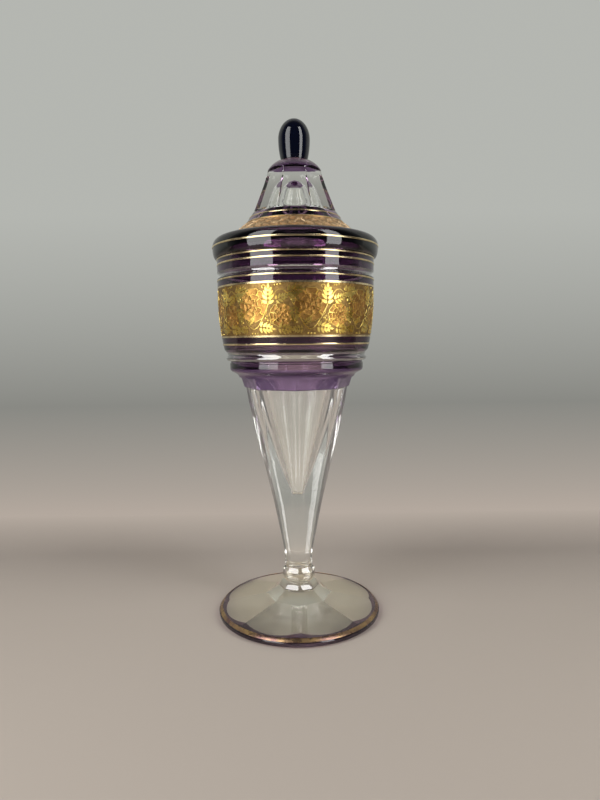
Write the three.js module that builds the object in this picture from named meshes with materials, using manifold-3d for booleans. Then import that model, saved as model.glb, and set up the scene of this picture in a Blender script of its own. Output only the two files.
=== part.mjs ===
// Covered candy jar in clear and amethyst cut glass with gilding, in millimetres, +Z up.
// The origin is the centre of the foot's underside. The front of the jar faces -Y.

import * as THREE from 'three';
import { mergeVertices } from 'three/addons/utils/BufferGeometryUtils.js';
import Module from 'manifold-3d';

// Faces round a turned surface, and flat panels round a cut one
const ROUND_SEGMENTS = 40;
const PANELS = 8;
const FLAT_SHARE = Math.cos(Math.PI / PANELS);
// How far a cutting shape runs past the glass that it cuts
const CUT_MARGIN = 15;

// Gilding, and the amethyst layer over the clear glass
const GILT_THICKNESS = 0.2;
const GILT_LINE_WIDTH = 0.8;
const FRIEZE_DEPTH = 0.45;
const CASING = 1.2;
const CAP_CASING = 1;

// Foot: a disc with a bevelled rim, its top cut in two tiers of flat panels
const FOOT_RADIUS = 45;
const FOOT_HEIGHT = 14.3;
const FOOT_RIM_LOW = 1.6;
const FOOT_RIM_HIGH = 2.6;
const FOOT_RIM_ROUNDING = 0.4;
const FOOT_CASING_LIFT = 0.5;
const BEVEL_RISE = 2.5;
const BEVEL_RUN = 2.8;
const BEVEL_LOW_INSET = 0.3;
const FOOT_PANEL_EDGE_INSET = 1.5;
const FOOT_PANEL_EDGE_HEIGHT = 4.2;
const FOOT_TIER_RADIUS = 17;
const FOOT_TIER_HEIGHT = 9.9;
const FOOT_CLEAR_INSET = 3.4;
const FOOT_WEDGE_INSET = 5.5;
const FOOT_GILT_WIDTH = 2.2;
const FOOT_GILT_PLACE = 0.36;

// Merese: an eight-sided plate with sloping sides, then a neck and a collar under the stem
const MERESE_HEIGHT = 12.7;
const PLATE_RADIUS = 11.2;
const PLATE_EDGE_HEIGHT = 1;
const PLATE_TOP_RADIUS = 9.9;
const PLATE_HEIGHT = 3;
const NECK_RADIUS = 8.3;
const NECK_BASE_HEIGHT = 4;
const NECK_TOP_HEIGHT = 4.9;
const COLLAR_RADIUS = 9;
const COLLAR_BASE_HEIGHT = 5.7;
const COLLAR_TOP_HEIGHT = 9.9;
const COLLAR_SLOPE_TOP = 11.9;

// Stem: solid, widening to where the hollow of the bowl begins
const STEM_HEIGHT = 35.5;
const STEM_LOW_RADIUS = 7.7;
const STEM_COVE_RADIUS = 8.2;
const STEM_COVE_HEIGHT = 8.5;
const STEM_BEND_RADIUS = 9.3;
const STEM_BEND_HEIGHT = 14.5;
const STEM_TOP_RADIUS = 13.5;

// Funnel: the clear eight-sided lower part of the bowl, and its hollow
const FUNNEL_HEIGHT = 64;
const FUNNEL_TOP_RADIUS = 27.9;
const FUNNEL_SHOULDER_RADIUS = 24.6;
const FUNNEL_SHOULDER_DROP = 17.5;
const HOLLOW_FLOOR = 6.5;
const HOLLOW_TIP_RADIUS = 2;
const HOLLOW_TIP_RISE = 3;
const HOLLOW_NECK_RADIUS = 5.2;
const HOLLOW_NECK_RISE = 11.5;
const HOLLOW_TOP_RADIUS = 20;

// Cup: the wide upper part of the bowl. Its wall swells to the widest height, then runs straight up.
const CUP_HEIGHT = 68.5;
const CUP_RADIUS = 41.85;
const CUP_WALL = 4.25;
const CUP_WIDEST_HEIGHT = 47.5;
const WALL_LOW_HEIGHT = 20.8;
const WALL_LOW_RADIUS = 38.9;
const CUP_FLOOR_RADIUS = 28;
const CUP_FLOOR_HEIGHT = 9.5;
const CUP_BEND_RADIUS = 32.6;
const CUP_BEND_HEIGHT = 14.9;
const CUP_BELLY_RADIUS = 35.6;
const CUP_BELLY_HEIGHT = 23;

// Waist of the cup: eight-sided collar, ogee and turned rings
const WAIST_LOW_RADIUS = 28.6;
const WAIST_HIGH_RADIUS = 30.3;
const WAIST_HEIGHT = 5.8;
const WAIST_CASING = 2.2;
const OGEE_LOW_RADIUS = 31.2;
const OGEE_HIGH_RADIUS = 36.1;
const OGEE_TOP = 10.9;
const OGEE_WAVE = 0.5;
const OGEE_DIP_PLACE = 0.3;
const OGEE_SWELL_PLACE = 0.8;
const LOW_RING_TOP = 14.5;
const RING_NOTCH = 0.6;
const MIDDLE_RING_RADIUS = 37.95;
const MIDDLE_RING_HEIGHT = 16.3;
const COVE_RADIUS = 37.2;
const COVE_HEIGHT = 18.5;

// Bands on the cup. The waist line and the frieze are measured up, the others down from the mouth.
const WAIST_LINE_HEIGHT = 23.6;
const FRIEZE_LOW = 27;
const FRIEZE_HEIGHT = 26.6;
const GROOVE_LINE_DROP = 11.6;
const GROOVE_CENTRE_DROP = 9;
const GROOVE_WIDTH = 3.2;
const GROOVE_DEPTH = 0.9;
const UPPER_LINE_DROP = 3.5;
const MOUTH_LINE_DROP = 0.6;

// Lid, measured up from its seat on the jar's mouth: locating collar, rounded rim and shoulder
const SEAT_CLEARANCE = 0.7;
const SEAT_COLLAR_DEPTH = 4.5;
const SEAT_COLLAR_WALL = 2.6;
const RIM_OVERHANG = 2.25;
const RIM_RADIUS = CUP_RADIUS + RIM_OVERHANG;
const RIM_UNDERCUT = 1.6;
const RIM_WIDEST_HEIGHT = 5.6;
const CROWN_INSET = 4.6;
const CROWN_RADIUS = RIM_RADIUS - CROWN_INSET;
const CROWN_HEIGHT = 10.8;
const SHOULDER_LOW_RADIUS = 34.6;
const SHOULDER_LOW_HEIGHT = 11.6;
const SHOULDER_TOP_RADIUS = 25.9;
const SHOULDER_TOP_HEIGHT = 18.6;
const SHOULDER_LINE_PLACE = 0.55;

// Lid: the bell with its eight panels, and the cap that they end under
const BELL_FOOT_RADIUS = 22.9;
const BELL_FOOT_HEIGHT = 23.2;
const PANEL_LOW_FLAT = 21;
const PANEL_LOW_HEIGHT = 23.8;
const PANEL_BEND_FLAT = 15.6;
const PANEL_BEND_HEIGHT = 38.4;
const PANEL_HIGH_FLAT = 13.85;
const PANEL_HIGH_HEIGHT = 44.5;
const PANEL_RUNOUT = 2;
const PANEL_ARCH_RISE = 3;
const CAP_RADIUS = 15.4;
const CAP_RISE = 10.6;
const CAP_CENTRE_HEIGHT = 42;
const CAP_SEAM_ANGLE = 11;

// Hollow of the lid
const LID_WALL = 4.6;
const LID_THROAT_RADIUS = 9.8;
const LID_THROAT_HEIGHT = 23;
const LID_TIP_RADIUS = 5.2;
const LID_TIP_RISE = 5;
const LID_HOLLOW_HEIGHT = 38;

// Finial
const FINIAL_BASE_RADIUS = 7;
const FINIAL_RADIUS = 8.4;
const FINIAL_WIDEST_HEIGHT = 10.9;
const FINIAL_HEIGHT = 21.3;

const CLEAR_GLASS = { color: 0xe4e8e4, roughness: 0.04, metalness: 0 };
const AMETHYST_GLASS = { color: 0x4a2350, roughness: 0.05, metalness: 0 };
const DARK_AMETHYST = { color: 0x150b1c, roughness: 0.05, metalness: 0 };
const POLISHED_GOLD = { color: 0xd9b24a, roughness: 0.22, metalness: 1 };
const ETCHED_GOLD = { color: 0xa67c2e, roughness: 0.45, metalness: 1 };

const wasm = await Module();
wasm.setup();

function piece(name, geometry, finish) {
  const mesh = new THREE.Mesh(geometry, new THREE.MeshStandardMaterial(finish));
  mesh.name = name;
  return mesh;
}

function groupAt(height, ...members) {
  const group = new THREE.Group();
  group.position.z = height;
  group.add(...members);
  return group;
}

// A closed surface with shared vertices, without the collapsed faces that meet on the axis
function closed(geometry) {
  geometry.deleteAttribute('normal');
  geometry.deleteAttribute('uv');
  const merged = mergeVertices(geometry);
  const index = merged.index.array;
  const kept = [];
  for (let i = 0; i < index.length; i += 3) {
    const [a, b, c] = [index[i], index[i + 1], index[i + 2]];
    if (a !== b && b !== c && c !== a) {
      kept.push(a, b, c);
    }
  }
  merged.setIndex(kept);
  return merged;
}

// An outline of [radius, height] points, listed with the glass on its left, turned about +Z
function turned(outline, segments = ROUND_SEGMENTS, startAngle = 0) {
  const points = outline.map(([radius, height]) => new THREE.Vector2(radius, height));
  const geometry = new THREE.LatheGeometry(points, segments, startAngle);
  geometry.rotateX(Math.PI / 2);
  return closed(geometry);
}

function turnedRing(outline) {
  return turned([...outline, outline[0]]);
}

// Flat panels with a ridge to the front, from the radii of the ridges
function ridgeFront(outline) {
  return turned(outline, PANELS);
}

// Flat panels with a flat to the front, from the distances of the flats
function flatFront(outline) {
  const ridges = outline.map(([flat, height]) => [flat / FLAT_SHARE, height]);
  return turned(ridges, PANELS, Math.PI / PANELS);
}

function toManifold(geometry) {
  return new wasm.Manifold(new wasm.Mesh({
    numProp: 3,
    vertProperties: new Float32Array(geometry.attributes.position.array),
    triVerts: new Uint32Array(geometry.index.array),
  }));
}

function toGeometry(manifold) {
  const result = manifold.getMesh();
  const geometry = new THREE.BufferGeometry();
  geometry.setAttribute('position', new THREE.BufferAttribute(result.vertProperties, 3));
  geometry.setIndex(new THREE.BufferAttribute(result.triVerts, 1));
  return geometry;
}

function common(first, second) {
  return toGeometry(toManifold(first).intersect(toManifold(second)));
}

function cut(body, tool) {
  return toGeometry(toManifold(body).subtract(toManifold(tool)));
}

// Points of an ellipse arc about [radius, height], with angles in degrees up from outward
function arc([radius, height], width, rise, from, to, steps) {
  return Array.from({ length: steps + 1 }, (_, i) => {
    const angle = THREE.MathUtils.degToRad(from + ((to - from) * i) / steps);
    return [radius + width * Math.cos(angle), height + rise * Math.sin(angle)];
  });
}

function lastPoint(outline) {
  return outline[outline.length - 1];
}

function between([r0, z0], [r1, z1], share) {
  return [r0 + (r1 - r0) * share, z0 + (z1 - z0) * share];
}

// A straight stretch of a surface, moved off along its own normal
function offset([r0, z0], [r1, z1], distance) {
  const length = Math.hypot(r1 - r0, z1 - z0);
  const outward = ((z1 - z0) / length) * distance;
  const upward = ((r0 - r1) / length) * distance;
  return [[r0 + outward, z0 + upward], [r1 + outward, z1 + upward]];
}

// The two edges of a line of a given width on a straight stretch of a surface
function lineOn(start, end, place, width) {
  const halfShare = width / 2 / Math.hypot(end[0] - start[0], end[1] - start[1]);
  return [between(start, end, place - halfShare), between(start, end, place + halfShare)];
}

// A gilt band on a straight stretch of a surface
function giltBand(low, high) {
  const [outerLow, outerHigh] = offset(low, high, GILT_THICKNESS);
  return turnedRing([low, outerLow, outerHigh, high]);
}

// Foot

const bevelLow = [FOOT_RADIUS - BEVEL_LOW_INSET, FOOT_RIM_HIGH + BEVEL_LOW_INSET];
const bevelHigh = [bevelLow[0] - BEVEL_RUN, bevelLow[1] + BEVEL_RISE];
const panelEdge = [FOOT_RADIUS - FOOT_PANEL_EDGE_INSET, FOOT_PANEL_EDGE_HEIGHT];

// Height of the outer tier of panels above a flat's distance from the axis
function footPanelHeight(flat) {
  const share = (panelEdge[0] - flat) / (panelEdge[0] - FOOT_TIER_RADIUS);
  return panelEdge[1] + share * (FOOT_TIER_HEIGHT - panelEdge[1]);
}

function footPanels() {
  const reach = FOOT_RADIUS + CUT_MARGIN;
  return ridgeFront([
    [0, -CUT_MARGIN],
    [reach / FLAT_SHARE, -CUT_MARGIN],
    [reach / FLAT_SHARE, footPanelHeight(reach)],
    [FOOT_TIER_RADIUS / FLAT_SHARE, FOOT_TIER_HEIGHT],
    [PLATE_RADIUS, FOOT_HEIGHT],
    [0, FOOT_HEIGHT],
  ]);
}

// Where clear glass and amethyst meet, from the underside to the tip of the wedges at the ridges
function footSeam() {
  const clearRadius = FOOT_RADIUS - CASING;
  const flatEdge = FOOT_RADIUS - FOOT_CLEAR_INSET;
  const wedgeTip = FOOT_RADIUS - FOOT_WEDGE_INSET;
  return [
    [clearRadius, FOOT_RIM_ROUNDING],
    [clearRadius, FOOT_RIM_HIGH],
    [flatEdge, footPanelHeight(flatEdge)],
    [wedgeTip, footPanelHeight(wedgeTip * FLAT_SHARE)],
  ];
}

function footBody() {
  const seam = footSeam();
  const wedgeTip = lastPoint(seam);
  const blank = turned([
    [0, 0],
    [seam[0][0] - FOOT_RIM_ROUNDING, 0],
    ...seam,
    [wedgeTip[0], FOOT_HEIGHT + CUT_MARGIN],
    [0, FOOT_HEIGHT + CUT_MARGIN],
  ]);
  return common(blank, footPanels());
}

function footCasing() {
  const seam = footSeam();
  const wedgeTip = lastPoint(seam);
  const blank = turnedRing([
    [seam[0][0], FOOT_RIM_ROUNDING],
    [FOOT_RADIUS - FOOT_CASING_LIFT, FOOT_RIM_ROUNDING],
    [FOOT_RADIUS, FOOT_RIM_LOW],
    [FOOT_RADIUS, FOOT_RIM_HIGH],
    bevelLow,
    bevelHigh,
    [wedgeTip[0], wedgeTip[1] + CASING],
    ...seam.slice(1).reverse(),
  ]);
  return common(blank, footPanels());
}

function footGiltLine() {
  return giltBand(...lineOn(bevelLow, bevelHigh, FOOT_GILT_PLACE, FOOT_GILT_WIDTH));
}

// Merese and stem

function merese() {
  return ridgeFront([
    [0, 0],
    [PLATE_RADIUS, 0],
    [PLATE_RADIUS, PLATE_EDGE_HEIGHT],
    [PLATE_TOP_RADIUS, PLATE_HEIGHT],
    [NECK_RADIUS, NECK_BASE_HEIGHT],
    [NECK_RADIUS, NECK_TOP_HEIGHT],
    [COLLAR_RADIUS, COLLAR_BASE_HEIGHT],
    [COLLAR_RADIUS, COLLAR_TOP_HEIGHT],
    [STEM_LOW_RADIUS, COLLAR_SLOPE_TOP],
    [STEM_LOW_RADIUS, MERESE_HEIGHT],
    [0, MERESE_HEIGHT],
  ]);
}

function stem() {
  return ridgeFront([
    [0, 0],
    [STEM_LOW_RADIUS, 0],
    [STEM_LOW_RADIUS, STEM_COVE_HEIGHT / 2],
    [STEM_COVE_RADIUS, STEM_COVE_HEIGHT],
    [STEM_BEND_RADIUS, STEM_BEND_HEIGHT],
    [STEM_TOP_RADIUS, STEM_HEIGHT],
    [0, STEM_HEIGHT],
  ]);
}

// Bowl

function funnel() {
  const outside = ridgeFront([
    [0, 0],
    [STEM_TOP_RADIUS, 0],
    [FUNNEL_SHOULDER_RADIUS, FUNNEL_HEIGHT - FUNNEL_SHOULDER_DROP],
    [FUNNEL_TOP_RADIUS, FUNNEL_HEIGHT],
    [0, FUNNEL_HEIGHT],
  ]);
  const tip = arc([0, HOLLOW_FLOOR + HOLLOW_TIP_RISE], HOLLOW_TIP_RADIUS, HOLLOW_TIP_RISE, -90, 0, 3);
  const hollow = turned([
    [0, HOLLOW_FLOOR],
    ...tip.slice(1),
    [HOLLOW_NECK_RADIUS, HOLLOW_FLOOR + HOLLOW_NECK_RISE],
    [HOLLOW_TOP_RADIUS, FUNNEL_HEIGHT],
    [HOLLOW_TOP_RADIUS, FUNNEL_HEIGHT + CUT_MARGIN],
    [0, FUNNEL_HEIGHT + CUT_MARGIN],
  ]);
  return cut(outside, hollow);
}

// Radius of the cup's outer wall at a height above its seam with the funnel
function wallRadius(height) {
  const below = Math.max(0, CUP_WIDEST_HEIGHT - height) / (CUP_WIDEST_HEIGHT - WALL_LOW_HEIGHT);
  return CUP_RADIUS - (CUP_RADIUS - WALL_LOW_RADIUS) * below * below;
}

function wallPoint(height, inset = 0) {
  return [wallRadius(height) - inset, height];
}

// The two edges of a gilt line on the wall
function lineEdges(centre) {
  return [wallPoint(centre - GILT_LINE_WIDTH / 2), wallPoint(centre + GILT_LINE_WIDTH / 2)];
}

const mouthRadius = CUP_RADIUS - CUP_WALL;
const friezeTop = FRIEZE_LOW + FRIEZE_HEIGHT;
const friezeLevels = [0, 0.5, 1].map((share) => FRIEZE_LOW + FRIEZE_HEIGHT * share);
const cupLines = {
  waist_gilt_line: lineEdges(WAIST_LINE_HEIGHT),
  groove_gilt_line: lineEdges(CUP_HEIGHT - GROOVE_LINE_DROP),
  upper_gilt_line: lineEdges(CUP_HEIGHT - UPPER_LINE_DROP),
  mouth_gilt_line: lineEdges(CUP_HEIGHT - MOUTH_LINE_DROP),
};

// Where clear glass and amethyst meet in the cup, from the funnel up to the mouth
function cupSeam() {
  return [
    [WAIST_LOW_RADIUS * FLAT_SHARE - CASING, 0],
    [WAIST_HIGH_RADIUS * FLAT_SHARE - CASING, WAIST_HEIGHT],
    [OGEE_HIGH_RADIUS - WAIST_CASING, OGEE_TOP],
    [COVE_RADIUS - CASING, COVE_HEIGHT],
    ...friezeLevels.map((height) => wallPoint(height, CASING)),
    wallPoint(CUP_HEIGHT, CASING),
  ];
}

function cup() {
  return turnedRing([
    [HOLLOW_TOP_RADIUS, 0],
    ...cupSeam(),
    [mouthRadius, CUP_HEIGHT],
    [mouthRadius, friezeLevels[1]],
    [CUP_BELLY_RADIUS, CUP_BELLY_HEIGHT],
    [CUP_BEND_RADIUS, CUP_BEND_HEIGHT],
    [CUP_FLOOR_RADIUS, CUP_FLOOR_HEIGHT],
  ]);
}

// The cup cut in eight flats round the waist and left round above them
function waistPanels() {
  const reach = CUP_RADIUS + CUT_MARGIN;
  return ridgeFront([
    [0, -CUT_MARGIN],
    [WAIST_LOW_RADIUS, -CUT_MARGIN],
    [WAIST_LOW_RADIUS, 0],
    [WAIST_HIGH_RADIUS, WAIST_HEIGHT],
    [OGEE_HIGH_RADIUS / FLAT_SHARE, WAIST_HEIGHT + RING_NOTCH],
    [reach, OGEE_TOP],
    [reach, CUP_HEIGHT + CUT_MARGIN],
    [0, CUP_HEIGHT + CUT_MARGIN],
  ]);
}

function bowlCasing() {
  const ogeeLow = [OGEE_LOW_RADIUS, WAIST_HEIGHT];
  const ogeeHigh = [OGEE_HIGH_RADIUS, OGEE_TOP];
  const [ogeeDip] = offset(between(ogeeLow, ogeeHigh, OGEE_DIP_PLACE), ogeeHigh, -OGEE_WAVE);
  const [ogeeSwell] = offset(between(ogeeLow, ogeeHigh, OGEE_SWELL_PLACE), ogeeHigh, OGEE_WAVE);
  const groove = CUP_HEIGHT - GROOVE_CENTRE_DROP;
  const blank = turnedRing([
    cupSeam()[0],
    [OGEE_LOW_RADIUS, 0],
    ogeeLow,
    ogeeDip,
    ogeeSwell,
    ogeeHigh,
    [OGEE_HIGH_RADIUS, LOW_RING_TOP - RING_NOTCH],
    [OGEE_HIGH_RADIUS - RING_NOTCH / 2, LOW_RING_TOP],
    [MIDDLE_RING_RADIUS - RING_NOTCH, LOW_RING_TOP + RING_NOTCH],
    [MIDDLE_RING_RADIUS, MIDDLE_RING_HEIGHT],
    [COVE_RADIUS, COVE_HEIGHT],
    wallPoint(WALL_LOW_HEIGHT),
    ...cupLines.waist_gilt_line,
    wallPoint(FRIEZE_LOW),
    ...friezeLevels.map((height) => wallPoint(height, FRIEZE_DEPTH)),
    wallPoint(friezeTop),
    ...cupLines.groove_gilt_line,
    wallPoint(groove - GROOVE_WIDTH / 2),
    wallPoint(groove - GROOVE_WIDTH / 6, GROOVE_DEPTH),
    wallPoint(groove + GROOVE_WIDTH / 6, GROOVE_DEPTH),
    wallPoint(groove + GROOVE_WIDTH / 2),
    ...cupLines.upper_gilt_line,
    ...cupLines.mouth_gilt_line,
    wallPoint(CUP_HEIGHT),
    ...cupSeam().slice(1).reverse(),
  ]);
  return common(blank, waistPanels());
}

function bowlFrieze() {
  return turnedRing([
    ...friezeLevels.map((height) => wallPoint(height)),
    ...friezeLevels.map((height) => wallPoint(height, FRIEZE_DEPTH)).reverse(),
  ]);
}

// Lid

const rimLow = [RIM_RADIUS, RIM_WIDEST_HEIGHT - GILT_LINE_WIDTH / 2];
const rimHigh = [RIM_RADIUS, RIM_WIDEST_HEIGHT + GILT_LINE_WIDTH / 2];
const shoulderLow = [SHOULDER_LOW_RADIUS, SHOULDER_LOW_HEIGHT];
const shoulderTop = [SHOULDER_TOP_RADIUS, SHOULDER_TOP_HEIGHT];
const bellFoot = [BELL_FOOT_RADIUS, BELL_FOOT_HEIGHT];
const shoulderLine = lineOn(shoulderTop, bellFoot, SHOULDER_LINE_PLACE, GILT_LINE_WIDTH);
const collarRadius = mouthRadius - SEAT_CLEARANCE;
const capTopAngle = THREE.MathUtils.radToDeg(Math.acos(FINIAL_BASE_RADIUS / CAP_RADIUS));
const capTop = lastPoint(capProfile(0, 0, capTopAngle, 1))[1];

// The rounded rim from the seat to the crown, drawn in by an inset
function rimProfile(inset, lowSteps, highSteps) {
  const highRise = CROWN_HEIGHT - inset - rimHigh[1];
  const highWidth = RIM_RADIUS - inset - CROWN_RADIUS;
  const lowCentre = [RIM_RADIUS - inset - RIM_UNDERCUT, rimLow[1]];
  return [
    ...arc(lowCentre, RIM_UNDERCUT, rimLow[1], -90, 0, lowSteps),
    ...arc([CROWN_RADIUS, rimHigh[1]], highWidth, highRise, 0, 90, highSteps),
  ];
}

// Where clear glass and amethyst meet in the lid's lower part, from the seat up to the bell
function lidSeam() {
  const [coreLow, coreTop] = offset(shoulderLow, shoulderTop, -CASING);
  const [, coreFoot] = offset(shoulderTop, bellFoot, -CASING);
  return [...rimProfile(CASING, 1, 2), coreLow, coreTop, coreFoot, bellFoot];
}

function lidPanels() {
  const reach = RIM_RADIUS + CUT_MARGIN;
  return flatFront([
    [0, -CUT_MARGIN],
    [reach, -CUT_MARGIN],
    [reach, SHOULDER_TOP_HEIGHT],
    [BELL_FOOT_RADIUS + PANEL_RUNOUT, PANEL_LOW_HEIGHT - PANEL_RUNOUT],
    [PANEL_LOW_FLAT, PANEL_LOW_HEIGHT],
    [PANEL_BEND_FLAT, PANEL_BEND_HEIGHT],
    ...arc([PANEL_HIGH_FLAT + PANEL_RUNOUT, PANEL_HIGH_HEIGHT], PANEL_RUNOUT, PANEL_ARCH_RISE, 180, 90, 2),
    [PANEL_HIGH_FLAT + PANEL_RUNOUT, capTop + CUT_MARGIN],
    [0, capTop + CUT_MARGIN],
  ]);
}

// Dome of the cap between two angles, drawn in by an inset
function capProfile(inset, from, to, steps) {
  return arc([0, CAP_CENTRE_HEIGHT], CAP_RADIUS - inset, CAP_RISE - inset, from, to, steps);
}

// Where clear glass and amethyst meet under the dome of the cap
function capSeam() {
  return capProfile(CAP_CASING, CAP_SEAM_ANGLE, capTopAngle, 3);
}

function lidBody() {
  const hollowTip = arc([0, LID_HOLLOW_HEIGHT - LID_TIP_RISE], LID_TIP_RADIUS, LID_TIP_RISE, 90, 0, 3);
  const [ceilingLow, ceilingTop] = offset(shoulderLow, shoulderTop, -CASING - LID_WALL);
  const blank = turned([
    [0, LID_HOLLOW_HEIGHT],
    ...hollowTip.slice(1),
    [LID_THROAT_RADIUS, LID_THROAT_HEIGHT],
    ceilingTop,
    ceilingLow,
    [collarRadius - SEAT_COLLAR_WALL, 0],
    [collarRadius - SEAT_COLLAR_WALL, -SEAT_COLLAR_DEPTH],
    [collarRadius, -SEAT_COLLAR_DEPTH],
    [collarRadius, 0],
    ...lidSeam(),
    [BELL_FOOT_RADIUS, CAP_CENTRE_HEIGHT - PANEL_RUNOUT],
    ...capProfile(0, 0, CAP_SEAM_ANGLE, 1),
    ...capSeam(),
    [0, lastPoint(capSeam())[1]],
  ]);
  return common(blank, lidPanels());
}

function lidRimCasing() {
  const blank = turnedRing([
    ...rimProfile(0, 3, 4),
    shoulderLow,
    ...offset(shoulderLow, shoulderTop, -FRIEZE_DEPTH),
    shoulderTop,
    ...shoulderLine,
    bellFoot,
    ...lidSeam().slice(0, -1).reverse(),
  ]);
  return common(blank, lidPanels());
}

function lidCapCasing() {
  const blank = turned([
    [0, lastPoint(capSeam())[1]],
    ...capSeam().reverse(),
    ...capProfile(0, CAP_SEAM_ANGLE, capTopAngle, 5),
    [0, capTop],
  ]);
  return common(blank, lidPanels());
}

function lidFrieze() {
  const [recessLow, recessTop] = offset(shoulderLow, shoulderTop, -FRIEZE_DEPTH);
  return turnedRing([shoulderLow, shoulderTop, recessTop, recessLow]);
}

function finial() {
  const baseAngle = Math.acos(FINIAL_BASE_RADIUS / FINIAL_RADIUS);
  const lowRise = FINIAL_WIDEST_HEIGHT / Math.sin(baseAngle);
  const start = -THREE.MathUtils.radToDeg(baseAngle);
  const centre = [0, FINIAL_WIDEST_HEIGHT];
  return turned([
    [0, 0],
    ...arc(centre, FINIAL_RADIUS, lowRise, start, 0, 3),
    ...arc(centre, FINIAL_RADIUS, FINIAL_HEIGHT - FINIAL_WIDEST_HEIGHT, 0, 90, 6).slice(1, -1),
    [0, FINIAL_HEIGHT],
  ]);
}

// The jar stands on its foot, and each part stands on the one below it

const stemBase = FOOT_HEIGHT + MERESE_HEIGHT;
const funnelBase = stemBase + STEM_HEIGHT;
const cupBase = funnelBase + FUNNEL_HEIGHT;
const lidSeat = cupBase + CUP_HEIGHT;

const jar = groupAt(
  0,
  piece('foot', footBody(), CLEAR_GLASS),
  piece('foot_casing', footCasing(), AMETHYST_GLASS),
  piece('foot_gilt_line', footGiltLine(), POLISHED_GOLD),
  groupAt(FOOT_HEIGHT, piece('merese', merese(), CLEAR_GLASS)),
  groupAt(stemBase, piece('stem', stem(), CLEAR_GLASS)),
  groupAt(funnelBase, piece('bowl_funnel', funnel(), CLEAR_GLASS)),
  groupAt(
    cupBase,
    piece('bowl_cup', cup(), CLEAR_GLASS),
    piece('bowl_casing', bowlCasing(), AMETHYST_GLASS),
    piece('bowl_frieze', bowlFrieze(), ETCHED_GOLD),
    ...Object.entries(cupLines).map(([name, edges]) => piece(name, giltBand(...edges), POLISHED_GOLD)),
  ),
);

const lid = groupAt(
  lidSeat,
  piece('lid_body', lidBody(), CLEAR_GLASS),
  piece('lid_rim_casing', lidRimCasing(), AMETHYST_GLASS),
  piece('lid_cap_casing', lidCapCasing(), AMETHYST_GLASS),
  piece('lid_frieze', lidFrieze(), ETCHED_GOLD),
  piece('lid_shoulder_gilt_line', giltBand(...shoulderLine), POLISHED_GOLD),
  piece('lid_rim_gilt_line', giltBand(rimLow, rimHigh), POLISHED_GOLD),
  groupAt(capTop, piece('finial', finial(), DARK_AMETHYST)),
);

const candyJar = groupAt(0, jar, lid);

export default candyJar;
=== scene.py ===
"""Looks of a covered candy jar in cut clear glass with amethyst casing and gilding.

Outlines are lists of (radius, height) in millimetres, and -Y is the front of the jar.
"""

import math

import bpy
from mathutils import Matrix, Vector


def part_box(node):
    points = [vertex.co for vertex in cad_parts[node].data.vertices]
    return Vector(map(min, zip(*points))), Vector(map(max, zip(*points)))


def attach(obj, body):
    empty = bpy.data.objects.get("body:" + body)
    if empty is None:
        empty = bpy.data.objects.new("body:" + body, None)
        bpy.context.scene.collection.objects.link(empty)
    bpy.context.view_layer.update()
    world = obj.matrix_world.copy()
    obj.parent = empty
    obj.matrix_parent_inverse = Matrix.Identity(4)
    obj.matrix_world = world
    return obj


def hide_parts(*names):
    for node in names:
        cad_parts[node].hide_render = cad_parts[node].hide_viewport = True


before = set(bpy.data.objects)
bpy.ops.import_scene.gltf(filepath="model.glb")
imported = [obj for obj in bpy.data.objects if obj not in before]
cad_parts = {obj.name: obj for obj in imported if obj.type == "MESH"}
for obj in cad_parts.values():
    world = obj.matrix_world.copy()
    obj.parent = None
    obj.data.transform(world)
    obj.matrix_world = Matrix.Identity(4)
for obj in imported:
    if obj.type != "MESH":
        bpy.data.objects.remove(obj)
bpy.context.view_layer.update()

MM = 0.001
ROUND_SIDES = 144
PANELS = 8
FLAT_SHARE = math.cos(math.pi / PANELS)
FLAT_TO_FRONT = math.pi / PANELS
SMOOTH_UNDER = math.radians(28)
NOISE_DETAIL = 4
CUT_MARGIN = 15


def low(node):
    """Lowest height of a CAD node, in millimetres."""
    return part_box(node)[0].z / MM


def high(node):
    """Highest height of a CAD node, in millimetres."""
    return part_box(node)[1].z / MM


def widest(node):
    """Largest radius of a CAD node, in millimetres."""
    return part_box(node)[1].y / MM


FOOT_TOP = high("foot")
STEM_BASE = low("stem")
FUNNEL_BASE = low("bowl_funnel")
CUP_BASE = low("bowl_cup")
MOUTH = high("bowl_cup")
CAP_TOP = low("finial")
FOOT_RADIUS = widest("foot_casing")
CUP_RADIUS = widest("bowl_frieze")
LINE_WIDTH = 0.8
LINE_HEIGHT = 0.2
CASING = 1.2

# Camera of the photograph

FOCAL_PIXELS = 590
PHOTO_HEIGHT = 800
SENSOR = 36
CAMERA_PLACE = Vector((0, -0.323, 0.151))
CAMERA_PITCH = math.radians(5.6)
CAMERA_ROLL = math.radians(-0.62)
CAMERA_YAW = math.radians(0.3)


def make_camera():
    pitch = (math.sin(CAMERA_PITCH), math.cos(CAMERA_PITCH))
    yaw = (math.sin(CAMERA_YAW), math.cos(CAMERA_YAW))
    roll = (math.sin(CAMERA_ROLL), math.cos(CAMERA_ROLL))
    forward = Vector((yaw[0] * pitch[1], yaw[1] * pitch[1], -pitch[0]))
    level_right = Vector((yaw[1], -yaw[0], 0))
    level_up = Vector((yaw[0] * pitch[0], yaw[1] * pitch[0], pitch[1]))
    right = level_right * roll[1] + level_up * roll[0]
    up = level_up * roll[1] - level_right * roll[0]
    data = bpy.data.cameras.new("photo_camera")
    data.sensor_width = SENSOR
    data.lens = SENSOR * FOCAL_PIXELS / PHOTO_HEIGHT
    data.clip_start = 0.01
    camera = bpy.data.objects.new("photo_camera", data)
    bpy.context.collection.objects.link(camera)
    turn = Matrix((right, up, -forward)).transposed().to_4x4()
    camera.matrix_world = Matrix.Translation(CAMERA_PLACE) @ turn
    bpy.context.scene.camera = camera


make_camera()
bpy.context.scene.view_settings.view_transform = "Standard"

# Materials


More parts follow.
